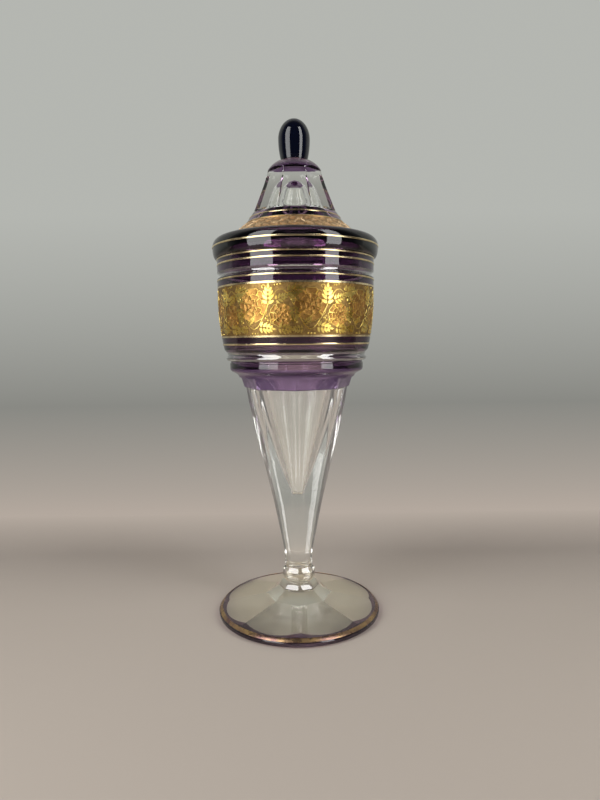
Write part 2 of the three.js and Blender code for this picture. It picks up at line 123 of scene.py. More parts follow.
def new_material(name):
    material = bpy.data.materials.new(name)
    material.use_nodes = True
    return material, material.node_tree.nodes, material.node_tree.links


def ramp_node(nodes, stops):
    """A colour ramp with the given (place, colour) stops."""
    ramp = nodes.new("ShaderNodeValToRGB")
    elements = ramp.color_ramp.elements
    while len(elements) < len(stops):
        elements.new(1)
    for element, (place, colour) in zip(elements, stops):
        element.position = place
        element.color = (*colour, 1)
    return ramp


def axes_of(nodes, links, source):
    """The X, Y and Z of a kind of texture coordinate."""
    place = nodes.new("ShaderNodeTexCoord")
    parts = nodes.new("ShaderNodeSeparateXYZ")
    links.new(place.outputs[source], parts.inputs[0])
    return parts.outputs


def mapped(nodes, links, value, start, end, low_value=0.0, high_value=1.0):
    """A value brought from the range start to end into the range of the last two, and kept in it."""
    spread = nodes.new("ShaderNodeMapRange")
    spread.inputs["From Min"].default_value = start
    spread.inputs["From Max"].default_value = end
    spread.inputs["To Min"].default_value = low_value
    spread.inputs["To Max"].default_value = high_value
    links.new(value, spread.inputs["Value"])
    return spread.outputs["Result"]


def combined(nodes, links, operation, first, second, clamped=False):
    node = nodes.new("ShaderNodeMath")
    node.operation = operation
    node.use_clamp = clamped
    links.new(first, node.inputs[0])
    links.new(second, node.inputs[1])
    return node.outputs[0]


def object_height(nodes, links, bottom, top):
    """Height on the piece, from 0 at the bottom to 1 at the top, both in millimetres."""
    return mapped(nodes, links, axes_of(nodes, links, "Object")["Z"], bottom * MM, top * MM)


def noise_on_object(nodes, links, scale):
    place = nodes.new("ShaderNodeTexCoord")
    noise = nodes.new("ShaderNodeTexNoise")
    noise.inputs["Scale"].default_value = scale
    noise.inputs["Detail"].default_value = NOISE_DETAIL
    links.new(place.outputs["Object"], noise.inputs["Vector"])
    return noise.outputs["Fac"]


CRYSTAL_IOR = 1.52
COAT_IOR = 1.9
CLEAR_SHADOW = (0.78, 0.77, 0.74)
AMETHYST_SHADOW = (0.5, 0.36, 0.48)
STEM_CLEARNESS = 0.955
COLLAR_CLEARNESS = 0.62
FINIAL_CLEARNESS = 0.9
FOOT_TONE = 0.86
FOOT_GRIND = 0.28


def glass_shader(nodes, links, shadow):
    """Clear refracting glass, whose shadow has the given colour because lamps shine through it."""
    shader = nodes["Principled BSDF"]
    shader.inputs["IOR"].default_value = CRYSTAL_IOR
    shader.inputs["Transmission Weight"].default_value = 1
    shader.inputs["Roughness"].default_value = 0
    rays = nodes.new("ShaderNodeLightPath")
    passed = nodes.new("ShaderNodeBsdfTransparent")
    passed.inputs["Color"].default_value = (*shadow, 1)
    either = nodes.new("ShaderNodeMixShader")
    links.new(rays.outputs["Is Shadow Ray"], either.inputs["Fac"])
    links.new(shader.outputs[0], either.inputs[1])
    links.new(passed.outputs[0], either.inputs[2])
    links.new(either.outputs[0], nodes["Material Output"].inputs["Surface"])
    return shader


def clear_crystal(name, clearness):
    """Lead crystal, with the faintest unevenness of tone."""
    material, nodes, links = new_material(name)
    shader = glass_shader(nodes, links, CLEAR_SHADOW)
    tone = ramp_node(nodes, [(0.3, (0.93, 0.93, 0.89)), (0.7, (0.975, 0.975, 0.95))])
    links.new(noise_on_object(nodes, links, 40), tone.inputs["Fac"])
    links.new(tone.outputs["Color"], shader.inputs["Base Color"])
    shader.inputs["Transmission Weight"].default_value = clearness
    return material


def cut_crystal(name, tone, coat, roughness=0.0):
    """Lead crystal with one even tone, polished bright after the cutting or left a little ground."""
    material, nodes, links = new_material(name)
    shader = glass_shader(nodes, links, CLEAR_SHADOW)
    shader.inputs["Base Color"].default_value = (tone, tone * 0.97, tone * 0.84, 1)
    shader.inputs["Coat Weight"].default_value = coat
    shader.inputs["Coat IOR"].default_value = COAT_IOR
    shader.inputs["Roughness"].default_value = roughness
    return material


def cased_glass(name, bottom, top, stops, clearness=1.0):
    """Amethyst layer whose depth of colour changes with height, as the cutting thins it; the lid's stops also
    hold a band of painted shade.
    """
    material, nodes, links = new_material(name)
    shader = glass_shader(nodes, links, AMETHYST_SHADOW)
    tint = ramp_node(nodes, stops)
    links.new(object_height(nodes, links, bottom, top), tint.inputs["Fac"])
    mottle = nodes.new("ShaderNodeMix")
    mottle.data_type = "RGBA"
    mottle.blend_type = "MULTIPLY"
    mottle.inputs["Factor"].default_value = 1
    shade = ramp_node(nodes, [(0.3, (0.86, 0.84, 0.87)), (0.7, (1, 1, 1))])
    links.new(noise_on_object(nodes, links, 60), shade.inputs["Fac"])
    links.new(tint.outputs["Color"], mottle.inputs["A"])
    links.new(shade.outputs["Color"], mottle.inputs["B"])
    links.new(mottle.outputs["Result"], shader.inputs["Base Color"])
    shader.inputs["Transmission Weight"].default_value = clearness
    return material


def fused_joint():
    """A joint inside the glass, where two layers are melted together and light passes straight on."""
    material, nodes, links = new_material("fused_joint")
    nodes.remove(nodes["Principled BSDF"])
    through = nodes.new("ShaderNodeBsdfTransparent")
    links.new(through.outputs[0], nodes["Material Output"].inputs["Surface"])
    return material


def opaque(name, colour, roughness):
    """One even colour: the purple face where the finial is fused to the cap, seen through the bell."""
    material, nodes, _ = new_material(name)
    nodes["Principled BSDF"].inputs["Base Color"].default_value = (*colour, 1)
    nodes["Principled BSDF"].inputs["Roughness"].default_value = roughness
    return material


def gold(name, dull, bright, spots, smoothest, roughest):
    """Gilding fired on the glass, whose tone and polish vary in small spots."""
    material, nodes, links = new_material(name)
    shader = nodes["Principled BSDF"]
    shader.inputs["Metallic"].default_value = 1
    tone = ramp_node(nodes, [(0.35, dull), (0.65, bright)])
    links.new(noise_on_object(nodes, links, spots), tone.inputs["Fac"])
    links.new(tone.outputs["Color"], shader.inputs["Base Color"])
    grain = noise_on_object(nodes, links, 400)
    rough = mapped(nodes, links, grain, 0.3, 0.7, smoothest, roughest)
    links.new(rough, shader.inputs["Roughness"])
    return material, nodes, links


def matt_gold(name, dull, bright):
    """The ground of a frieze, stippled by acid before it was gilded."""
    material, nodes, links = gold(name, dull, bright, 700, 0.42, 0.55)
    grain = nodes.new("ShaderNodeBump")
    grain.inputs["Strength"].default_value = 0.35
    grain.inputs["Distance"].default_value = 0.05 * MM
    links.new(noise_on_object(nodes, links, 2500), grain.inputs["Height"])
    links.new(grain.outputs["Normal"], nodes["Principled BSDF"].inputs["Normal"])
    return material


CRYSTAL = clear_crystal("clear_crystal", 1)
STEM_CRYSTAL = clear_crystal("stem_crystal", STEM_CLEARNESS)
JOINT = fused_joint()
BRIGHT_CRYSTAL = cut_crystal("bright_cut_crystal", 0.95, 1.0)
FOOT_CRYSTAL = cut_crystal("foot_crystal", FOOT_TONE, 0.5)
GROUND_CRYSTAL = cut_crystal("ground_crystal", FOOT_TONE, 0.0, FOOT_GRIND)
LINE_GOLD = gold("line_gold", (0.62, 0.47, 0.24), (0.92, 0.77, 0.46), 150, 0.18, 0.3)[0]
WORN_GOLD = gold("worn_gold", (0.17, 0.09, 0.1), (0.56, 0.37, 0.17), 90, 0.2, 0.36)[0]
SCROLL_GOLD = gold("scroll_gold", (0.64, 0.43, 0.09), (0.86, 0.66, 0.19), 150, 0.24, 0.36)[0]
SHOULDER_GOLD = gold("shoulder_gold", (0.66, 0.44, 0.24), (0.86, 0.64, 0.38), 500, 0.3, 0.42)[0]
BLOSSOM_GOLD = gold("blossom_gold", (0.3, 0.15, 0.04), (0.48, 0.26, 0.07), 260, 0.36, 0.48)[0]
ETCHED = matt_gold("etched_gold", (0.2, 0.12, 0.04), (0.34, 0.21, 0.07))
SHOULDER_ETCHED = matt_gold("shoulder_etched_gold", (0.38, 0.24, 0.12), (0.62, 0.42, 0.23))
FOOT_AMETHYST = cased_glass("foot_amethyst", 0, 6, [(0, (0.014, 0.004, 0.018)), (1, (0.1, 0.045, 0.1))])
WALL_AMETHYST = cased_glass(
    "wall_amethyst",
    CUP_BASE,
    MOUTH,
    [
        (0.0, (0.26, 0.13, 0.28)),
        (0.2, (0.24, 0.12, 0.26)),
        (0.33, (0.08, 0.025, 0.07)),
        (0.7, (0.05, 0.015, 0.045)),
        (1.0, (0.07, 0.02, 0.08)),
    ],
)
COLLAR_AMETHYST = cased_glass(
    "collar_amethyst",
    CUP_BASE,
    CUP_BASE + 11,
    [(0, (0.21, 0.11, 0.29)), (0.5, (0.17, 0.09, 0.24)), (1, (0.16, 0.08, 0.2))],
    COLLAR_CLEARNESS,
)
LID_AMETHYST_WITH_PAINTED_SHADE = cased_glass(
    "lid_amethyst",
    MOUTH,
    CAP_TOP,
    [
        (0.0, (0.045, 0.012, 0.04)),
        (0.18, (0.05, 0.015, 0.05)),
        (0.42, (0.17, 0.07, 0.17)),
        # Painted shade: the darker stops from 0.84 to 0.91 darken the lower part of the cap into a dark band.
        (0.84, (0.04, 0.012, 0.06)),
        (0.91, (0.07, 0.025, 0.09)),
        (0.94, (0.14, 0.075, 0.16)),
    ],
)
FINIAL_AMETHYST = cased_glass(
    "finial_amethyst",
    CAP_TOP,
    CAP_TOP + 20,
    [(0, (0.001, 0.003, 0.014)), (1, (0.001, 0.003, 0.018))],
    FINIAL_CLEARNESS,
)

FINIAL_ROOT = opaque("finial_root", (0.2, 0.06, 0.24), 0.4)

# Modelling


def arc(centre, width, rise, start, end, steps):
    """Points of an ellipse arc, with angles in degrees up from outward."""
    points = []
    for i in range(steps + 1):
        angle = math.radians(start + (end - start) * i / steps)
        points.append((centre[0] + width * math.cos(angle), centre[1] + rise * math.sin(angle)))
    return points


def between(first, second, share):
    return (first[0] + (second[0] - first[0]) * share, first[1] + (second[1] - first[1]) * share)


def offset(first, second, distance):
    """A straight stretch of an outline, moved off along its own normal."""
    run, rise = second[0] - first[0], second[1] - first[1]
    length = math.hypot(run, rise)
    out, up = rise / length * distance, -run / length * distance
    return [(first[0] + out, first[1] + up), (second[0] + out, second[1] + up)]


def smooth_through(points, steps):
    """A rounded path through the given points."""
    path = []
    ends = [points[0]] + list(points) + [points[-1]]
    for i in range(1, len(ends) - 2):
        before, here, there, after = ends[i - 1], ends[i], ends[i + 1], ends[i + 2]
        for k in range(steps):
            t = k / steps
            path.append(
                tuple(
                    0.5 * (2 * here[a] + (there[a] - before[a]) * t
                           + (2 * before[a] - 5 * here[a] + 4 * there[a] - after[a]) * t ** 2
                           + (3 * here[a] - before[a] - 3 * there[a] + after[a]) * t ** 3)
                    for a in (0, 1)
                )
            )
    path.append(points[-1])
    return path


def start_ring(name, sides, radius, height, turn, fill):
    bpy.ops.object.select_all(action="DESELECT")
    bpy.ops.mesh.primitive_circle_add(
        vertices=sides,
        radius=radius * MM,
        fill_type=fill,
        location=(0, 0, height * MM),
        rotation=(0, 0, turn),
    )
    piece = bpy.context.object
    piece.name = name
    piece.data.name = name
    bpy.ops.object.transform_apply(location=True, rotation=True, scale=True)
    bpy.ops.object.mode_set(mode="EDIT")
    bpy.ops.mesh.select_mode(type="VERT")
    bpy.ops.mesh.select_all(action="SELECT")
    return piece


def follow_outline(outline):
    """Extrudes the selected ring from point to point of an outline."""
    for (radius, height), (next_radius, next_height) in zip(outline, outline[1:]):
        bpy.ops.mesh.extrude_region_move(
            TRANSFORM_OT_translate={"value": (0, 0, (next_height - height) * MM)}
        )
        wider = next_radius / radius
        bpy.ops.transform.resize(value=(wider, wider, 1), center_override=(0, 0, next_height * MM))


def finish_form(piece):
    bpy.ops.mesh.select_all(action="SELECT")
    bpy.ops.mesh.remove_doubles(threshold=0.0005 * MM)
    bpy.ops.mesh.normals_make_consistent(inside=False)
    bpy.ops.object.mode_set(mode="OBJECT")
    return piece


def turned_solid(name, outline, sides=ROUND_SIDES, turn=0.0):
    """A solid turned from an outline that runs from one flat end to the other."""
    piece = start_ring(name, sides, *outline[0], turn, "NGON")
    follow_outline(outline)
    return finish_form(piece)


def turned_ring(name, outline):
    """A ring turned from an outline that closes on itself."""
    piece = start_ring(name, ROUND_SIDES, *outline[0], 0.0, "NOTHING")
    follow_outline(list(outline) + [outline[0]])
    return finish_form(piece)


def select_alone(piece):
    bpy.ops.object.select_all(action="DESELECT")
    piece.select_set(True)
    bpy.context.view_layer.objects.active = piece


def cut_with(piece, tool, operation):
    """Cuts a piece with a tool and throws the tool away."""
    select_alone(piece)
    cut = piece.modifiers.new("cut", "BOOLEAN")
    cut.operation = operation
    cut.object = tool
    cut.solver = "EXACT"
    bpy.ops.object.modifier_apply(modifier=cut.name)
    bpy.data.objects.remove(tool)
    return piece


def smooth(piece, under=SMOOTH_UNDER):
    select_alone(piece)
    bpy.ops.object.shade_smooth_by_angle(angle=under)
    return piece


def distance_to_outline(point, outline):
    """Least distance from a (radius, height) point to an outline, in millimetres."""
    here = Vector(point)
    least = math.inf
    for first, second in zip(outline, outline[1:]):
        start, run = Vector(first), Vector(second) - Vector(first)
        share = 0 if run.length == 0 else max(0, min(1, (here - start).dot(run) / run.length_squared))
        least = min(least, (here - start - run * share).length)
    return least


SEAM_TOLERANCE = 0.03


def lies_on(outline):
    """Tells whether all corners of a face lie on a turned outline."""
    def test(mesh, face):
        for index in face.vertices:
            x, y, z = mesh.vertices[index].co / MM
            if distance_to_outline((math.hypot(x, y), z), outline) > SEAM_TOLERANCE:
                return False
        return True
    return test


def lies_level_at(height):
    """Tells whether a face lies flat at a height."""
    def test(mesh, face):
        return abs(face.normal.z) > 0.999 and abs(face.center.z / MM - height) < SEAM_TOLERANCE
    return test


def give_materials(piece, main, *others):
    """Gives the main material to a piece and each other one to the faces that its test picks."""
    piece.data.materials.clear()
    piece.data.materials.append(main)
    for face in piece.data.polygons:
        face.material_index = 0
    for material, test in others:
        piece.data.materials.append(material)
        slot = len(piece.data.materials) - 1
        for face in piece.data.polygons:
            if test(piece.data, face):
                face.material_index = slot
    return piece


def place(piece, body, slot, *nodes):
    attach(piece, body)
    if nodes:
        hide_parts(*nodes)


def gilt_band(name, first, second, body, node, finish=LINE_GOLD):
    """A crowned gilt line along a straight stretch of an outline."""
    edge_low, edge_high = offset(first, second, LINE_HEIGHT * 0.6)
    crown_low, crown_high = offset(first, second, LINE_HEIGHT)
    outline = [
        first,
        between(first, edge_low, 0.9),
        between(crown_low, crown_high, 0.22),
        between(crown_low, crown_high, 0.78),
        between(second, edge_high, 0.9),
        second,
    ]
    piece = smooth(turned_ring(name, outline), math.radians(50))
    give_materials(piece, finish)
    place(piece, body, "polished_gilding", node)
    return piece


# Foot

RIM_HIGH = 2.6
BEVEL_LOW = (FOOT_RADIUS - 0.3, RIM_HIGH + 0.3)
BEVEL_HIGH = (FOOT_RADIUS - 3.1, RIM_HIGH + 2.8)
PANEL_EDGE = (FOOT_RADIUS - 1.5, 4.2)
TIER = (17, 9.9)
PLATE_RADIUS = 11.2
GILT_HALF_WIDTH = 1.1
GILT_PLACE = 0.36


def foot_panel_height(flat):
    share = (PANEL_EDGE[0] - flat) / (PANEL_EDGE[0] - TIER[0])
    return PANEL_EDGE[1] + share * (TIER[1] - PANEL_EDGE[1])


FOOT_SEAM = [
    (FOOT_RADIUS - CASING, 0.4),
    (FOOT_RADIUS - CASING, RIM_HIGH),
    (FOOT_RADIUS - 3.4, foot_panel_height(FOOT_RADIUS - 3.4)),
    (FOOT_RADIUS - 5.5, foot_panel_height((FOOT_RADIUS - 5.5) * FLAT_SHARE)),
]


def foot_panels():
    reach = FOOT_RADIUS + CUT_MARGIN
    outline = [
        (reach / FLAT_SHARE, -CUT_MARGIN),
        (reach / FLAT_SHARE, foot_panel_height(reach)),
        (TIER[0] / FLAT_SHARE, TIER[1]),
        (PLATE_RADIUS, FOOT_TOP),
    ]
    return turned_solid("foot_panels", outline, PANELS)


def make_foot():
    outline = [(FOOT_RADIUS - CASING - 0.4, 0)] + FOOT_SEAM + [(FOOT_SEAM[-1][0], FOOT_TOP + CUT_MARGIN)]
    foot = cut_with(turned_solid("foot_crystal", outline), foot_panels(), "INTERSECT")
    smooth(foot, math.radians(3.5))
    give_materials(
        foot,
        FOOT_CRYSTAL,
        (JOINT, lies_on(FOOT_SEAM)),
        (JOINT, lies_level_at(FOOT_TOP)),
        (GROUND_CRYSTAL, lies_level_at(0)),
    )
    place(foot, "jar", "clear_glass", "foot")


def make_foot_rim():
    outline = [
        FOOT_SEAM[0],
        *arc((FOOT_RADIUS - 1.1, 1.5), 1.1, 1.1, -75, 0, 6),
        (FOOT_RADIUS, RIM_HIGH),
        BEVEL_LOW,
        BEVEL_HIGH,
        (FOOT_SEAM[-1][0], FOOT_SEAM[-1][1] + CASING),
        *reversed(FOOT_SEAM[1:]),
    ]
    rim = cut_with(turned_ring("foot_amethyst_rim", outline), foot_panels(), "INTERSECT")
    smooth(rim, math.radians(16))
    give_materials(rim, FOOT_AMETHYST, (JOINT, lies_on(FOOT_SEAM)))
    place(rim, "jar", "amethyst_glass", "foot_casing")
    reach = GILT_HALF_WIDTH / math.hypot(BEVEL_HIGH[0] - BEVEL_LOW[0], BEVEL_HIGH[1] - BEVEL_LOW[1])
    first = between(BEVEL_LOW, BEVEL_HIGH, GILT_PLACE - reach)
    second = between(BEVEL_LOW, BEVEL_HIGH, GILT_PLACE + reach)
    gilt_band("foot_gilding", first, second, "jar", "foot_gilt_line", WORN_GOLD)


# Merese, stem and funnel

NECK_RADIUS = 8.3
UPPER_COLLAR_RADIUS = 9
STEM_LOW_RADIUS = 7.7
STEM_TOP_RADIUS = 13.5
FUNNEL_TOP_RADIUS = 27.9
HOLLOW_TOP_RADIUS = 20
RIDGE_DULLNESS = 0.045


def softened_ridges(name, outline):
    """An eight-sided solid whose ridges are drawn a little dull, as polishing leaves them."""
    piece = start_ring(name, PANELS, *outline[0], 0, "NGON")
    bpy.ops.mesh.bevel(affect="VERTICES", offset=outline[0][0] * RIDGE_DULLNESS * MM, segments=2)
    bpy.ops.mesh.select_all(action="SELECT")
    follow_outline(outline)
    return finish_form(piece)


def make_merese():
    base = FOOT_TOP
    outline = [
        (PLATE_RADIUS, base),
        (PLATE_RADIUS, base + 0.9),
        (PLATE_RADIUS - 0.2, base + 1.2),
        (9.9, base + 3),
        (9.6, base + 3.3),
        (NECK_RADIUS, base + 4),
        (NECK_RADIUS, base + 4.9),
        (UPPER_COLLAR_RADIUS - 0.15, base + 5.5),
        (UPPER_COLLAR_RADIUS, base + 5.9),
        (UPPER_COLLAR_RADIUS, base + 9.7),
        (UPPER_COLLAR_RADIUS - 0.2, base + 10.1),
        (STEM_LOW_RADIUS + 0.15, base + 11.7),
        (STEM_LOW_RADIUS, base + 12),
        (STEM_LOW_RADIUS, STEM_BASE),
    ]
    merese = smooth(softened_ridges("merese_crystal", outline))
    joints = [(JOINT, lies_level_at(height)) for height in (FOOT_TOP, STEM_BASE)]
    give_materials(merese, BRIGHT_CRYSTAL, *joints)
    place(merese, "jar", "clear_glass", "merese")


def make_stem():
    outline = smooth_through(
        [
            (STEM_LOW_RADIUS, STEM_BASE),
            (STEM_LOW_RADIUS, STEM_BASE + 4.25),
            (8.2, STEM_BASE + 8.5),
            (9.3, STEM_BASE + 14.5),
            (STEM_TOP_RADIUS - 1.8, STEM_BASE + 26.5),
            (STEM_TOP_RADIUS, FUNNEL_BASE),
        ],
        4,
    )
    stem = smooth(softened_ridges("stem_crystal", outline))
    joints = [(JOINT, lies_level_at(height)) for height in (STEM_BASE, FUNNEL_BASE)]
    give_materials(stem, STEM_CRYSTAL, *joints)
    place(stem, "jar", "clear_glass", "stem")


def make_funnel():
    outline = [
        (STEM_TOP_RADIUS, FUNNEL_BASE),
        *smooth_through(
            [
                (22.45, FUNNEL_BASE + 37.5),
                (24.5, CUP_BASE - 17.5),
                (26.6, CUP_BASE - 8),
                (FUNNEL_TOP_RADIUS, CUP_BASE),
            ],
            4,
        ),
    ]
    hollow = [
        *arc((0, FUNNEL_BASE + 9.5), 2, 3, -85, 0, 8),
        *smooth_through(
            [(5.2, FUNNEL_BASE + 18), (11.0, FUNNEL_BASE + 36), (HOLLOW_TOP_RADIUS, CUP_BASE)], 5
        ),
        (HOLLOW_TOP_RADIUS, CUP_BASE + CUT_MARGIN),
    ]
    funnel = softened_ridges("funnel_crystal", outline)
    cut_with(funnel, turned_solid("funnel_hollow", hollow), "DIFFERENCE")
    smooth(funnel)
    joints = [(JOINT, lies_level_at(height)) for height in (FUNNEL_BASE, CUP_BASE)]
    give_materials(funnel, STEM_CRYSTAL, *joints)
    place(funnel, "jar", "clear_glass", "bowl_funnel")


# Cup, its casing and its gilding

WIDEST_AT = CUP_BASE + 47.5
WALL_LOW = (38.9, CUP_BASE + 20.8)
MOUTH_RADIUS = CUP_RADIUS - 4.25
FRIEZE_LOW = low("bowl_frieze")
FRIEZE_HIGH = high("bowl_frieze")
FRIEZE_DEPTH = 0.45
WAIST_LOW_RADIUS = 28.6
WAIST_HIGH_RADIUS = 30.3
WAIST_TOP = CUP_BASE + 5.8
OGEE_LOW_RADIUS = 31.2
OGEE_HIGH_RADIUS = 36.1
OGEE_TOP = CUP_BASE + 10.9
GROOVE_AT = MOUTH - 9
GROOVE_REACH = 1.6
GROOVE_DEPTH = 0.9


def wall_radius(height):
    below = max(0, WIDEST_AT - height) / (WIDEST_AT - WALL_LOW[1])
    return CUP_RADIUS - (CUP_RADIUS - WALL_LOW[0]) * below ** 2


def wall_point(height, inset=0.0):
    return (wall_radius(height) - inset, height)


def wall_stretch(bottom, top, steps, inset=0.0):
    return [wall_point(bottom + (top - bottom) * i / steps, inset) for i in range(steps + 1)]


CUP_SEAM = [
    (WAIST_LOW_RADIUS * FLAT_SHARE - CASING, CUP_BASE),
    (WAIST_HIGH_RADIUS * FLAT_SHARE - CASING, WAIST_TOP),
    (OGEE_HIGH_RADIUS - 2.2, OGEE_TOP),
    (36, CUP_BASE + 18.5),
    *wall_stretch(FRIEZE_LOW, FRIEZE_HIGH, 8, CASING),
    wall_point(MOUTH, CASING),
]


def make_cup():
    outline = [
        (HOLLOW_TOP_RADIUS, CUP_BASE),
        *CUP_SEAM,
        (MOUTH_RADIUS + 0.5, MOUTH),
        (MOUTH_RADIUS, MOUTH - 0.5),
        *reversed(arc((MOUTH_RADIUS - 17.6, CUP_BASE + 41.5), 17.6, 36, -60, 0, 14)),
    ]
    cup = smooth(turned_ring("cup_crystal", outline))
    give_materials(cup, CRYSTAL, (JOINT, lies_on(CUP_SEAM)), (JOINT, lies_level_at(CUP_BASE)))
    place(cup, "jar", "clear_glass", "bowl_cup")


def waist_panels():
    reach = CUP_RADIUS + CUT_MARGIN
    outline = [
        (FUNNEL_TOP_RADIUS, CUP_BASE - CUT_MARGIN),
        (FUNNEL_TOP_RADIUS, CUP_BASE),
        (WAIST_LOW_RADIUS, CUP_BASE + 0.5),
        (WAIST_HIGH_RADIUS, WAIST_TOP),
        (OGEE_HIGH_RADIUS / FLAT_SHARE, WAIST_TOP + 0.6),
        (reach, OGEE_TOP),
        (reach, MOUTH + CUT_MARGIN),
    ]
    return turned_solid("waist_panels", outline, PANELS)


def line_on_wall(node):
    return wall_point(low(node)), wall_point(high(node))


def make_bowl_casing():
    ogee_low, ogee_high = (OGEE_LOW_RADIUS, WAIST_TOP), (OGEE_HIGH_RADIUS, OGEE_TOP)
    dip = offset(between(ogee_low, ogee_high, 0.3), ogee_high, -0.5)[0]
    swell = offset(between(ogee_low, ogee_high, 0.8), ogee_high, 0.5)[0]
    outline = [
        CUP_SEAM[0],
        (OGEE_LOW_RADIUS, CUP_BASE),
        *smooth_through([ogee_low, dip, swell, ogee_high], 5),
        *arc((OGEE_HIGH_RADIUS - 0.5, CUP_BASE + 13.5), 0.5, 0.5, 0, 90, 4),
        (OGEE_HIGH_RADIUS - 0.5, CUP_BASE + 14.6),
        *smooth_through(
            [(37.3, CUP_BASE + 15.1), (37.95, CUP_BASE + 16.4), (37.2, CUP_BASE + 18.6), WALL_LOW], 5
        ),
        *line_on_wall("waist_gilt_line"),
        wall_point(FRIEZE_LOW),
        *wall_stretch(FRIEZE_LOW, FRIEZE_HIGH, 8, FRIEZE_DEPTH),
        wall_point(FRIEZE_HIGH),
        *line_on_wall("groove_gilt_line"),
        wall_point(GROOVE_AT - GROOVE_REACH),
        *reversed(arc((CUP_RADIUS, GROOVE_AT), GROOVE_DEPTH, GROOVE_REACH * 0.8, 110, 250, 8)),
        wall_point(GROOVE_AT + GROOVE_REACH),
        *line_on_wall("upper_gilt_line"),
        *line_on_wall("mouth_gilt_line"),
        (CUP_RADIUS, MOUTH - 0.1),
        (CUP_RADIUS - 0.1, MOUTH),
        *reversed(CUP_SEAM[1:]),
    ]
    casing = cut_with(turned_ring("bowl_amethyst", outline), waist_panels(), "INTERSECT")
    smooth(casing)
    give_materials(
        casing,
        WALL_AMETHYST,
        (COLLAR_AMETHYST, below_ogee),
        (BRIGHT_CRYSTAL, cut_clear),
        (JOINT, lies_on(CUP_SEAM)),
        (JOINT, lies_level_at(CUP_BASE)),
    )
    place(casing, "jar", "amethyst_glass", "bowl_casing")


def below_ogee(mesh, face):
    """The eight-sided collar and the ogee over it, where the amethyst is thickest."""
    return face.center.z / MM < OGEE_TOP


def cut_clear(mesh, face):
    """The groove under the mouth and the ring over the waist are cut through to the clear glass."""
    height = face.center.z / MM
    in_groove = abs(height - GROOVE_AT) < GROOVE_REACH
    in_ring = CUP_BASE + 15 < height < CUP_BASE + 19.6
    return (in_groove or in_ring) and face.normal.xy.length > 0.3


def make_cup_lines():
    for node in ("waist_gilt_line", "groove_gilt_line", "upper_gilt_line", "mouth_gilt_line"):
        first, second = line_on_wall(node)
        gilt_band(node.replace("gilt_line", "gilding"), first, second, "jar", node)


# Ornament of the friezes, laid out flat in millimetres and then bent round the wall

RELIEF = 0.2
LOBE_POINTS = 10
OUTLINE_WIDTH = 0.3


def raised(points, at, angle, relief, dished):
    """A raised flat shape with sloping sides, dished inside a narrow rim where that is asked for."""
    bpy.ops.object.select_all(action="DESELECT")
    bpy.ops.mesh.primitive_circle_add(vertices=len(points), radius=1, fill_type="NGON")
    shape = bpy.context.object
    for vertex, (u, v) in zip(shape.data.vertices, points):
        vertex.co = (u, v, 0)
    middle = (sum(u for u, v in points) / len(points), 0, 0)
    bpy.ops.object.mode_set(mode="EDIT")
    bpy.ops.mesh.select_all(action="SELECT")
    bpy.ops.mesh.extrude_region_move(TRANSFORM_OT_translate={"value": (0, 0, relief)})
    bpy.ops.transform.resize(value=(0.93, 0.88, 1), center_override=middle)
    if dished:
        bpy.ops.mesh.extrude_region_move(TRANSFORM_OT_translate={"value": (0, 0, -0.09)})
        bpy.ops.transform.resize(value=(0.78, 0.72, 1), center_override=middle)
    bpy.ops.mesh.select_all(action="SELECT")
    bpy.ops.mesh.normals_make_consistent(inside=False)
    bpy.ops.object.mode_set(mode="OBJECT")
    shape.data.transform(Matrix.Translation((*at, 0)) @ Matrix.Rotation(angle, 4, "Z"))
    return shape


def lobe(length, width, at, angle):
    """A lobe of a leaf, with a pointed tip."""
    points = []
    for i in range(LOBE_POINTS):
        turn = 2 * math.pi * i / LOBE_POINTS
        share = (1 + math.cos(turn)) / 2
        points.append((share * length, math.sin(turn) * width / 2 * (1.35 - 0.85 * share)))
    return raised(points, at, angle, RELIEF, False)


PETAL = [(0, 0.42), (0.3, 0.66), (0.62, 0.9), (0.84, 1.0), (0.98, 0.66), (0.95, 0.2)]


def petal_points(length, width):
    """A petal's outline, broad and a little notched at its tip."""
    points = [(length * share, -width / 2 * half) for share, half in PETAL]
    return points + [(length * share, width / 2 * half) for share, half in reversed(PETAL)]


def petal(length, width, at, angle, relief):
    return raised(petal_points(length, width), at, angle, relief, True)


def petal_line(length, width, at, angle):
    """A fine bright line round the tip of a petal."""
    points = [further(at, angle, u, v) for u, v in petal_points(length, width)[1:-1]]
    return tendril(points, OUTLINE_WIDTH)


def further(at, heading, forward, aside=0.0):
    """The place that lies forward and aside of another along a heading."""
    return (
        at[0] + forward * math.cos(heading) - aside * math.sin(heading),
        at[1] + forward * math.sin(heading) + aside * math.cos(heading),
    )


LEAF_LOBES = ((0.0, 0.36, 66), (0.2, 0.42, 52), (0.4, 0.38, 44), (0.6, 0.3, 36))


def leaf(at, degrees, size):
    """A saw-edged leaf: slanting lobes on both sides of a midrib, with the veins left between them."""
    heading = math.radians(degrees)
    pieces = [lobe(size * 0.3, size * 0.15, further(at, heading, size * 0.76), heading)]
    for start, reach, slant in LEAF_LOBES:
        for side in (1, -1):
            root = further(at, heading, size * start, side * size * 0.025)
            pieces.append(lobe(size * reach, size * 0.2, root, heading + side * math.radians(slant)))
    return pieces


def blossom(at, radius):
    """A full blossom's petals, each ring standing higher than the one round it, and their fine outlines."""
    petals, lines = [], [berry(at, radius * 0.09)]
    for count, start, end, width, lift in (
        (7, 0.4, 1.0, 0.78, 0.6),
        (6, 0.16, 0.66, 0.56, 0.85),
        (4, 0.0, 0.36, 0.42, 1.1),
    ):
        for i in range(count):
            angle = 2 * math.pi * (i + 0.5 * count % 1) / count + 0.2
            root = further(at, angle, start * radius)
            size = ((end - start) * radius, width * radius)
            petals.append(petal(*size, root, angle, RELIEF * lift))
            lines.append(petal_line(*size, root, angle))
    return petals, lines


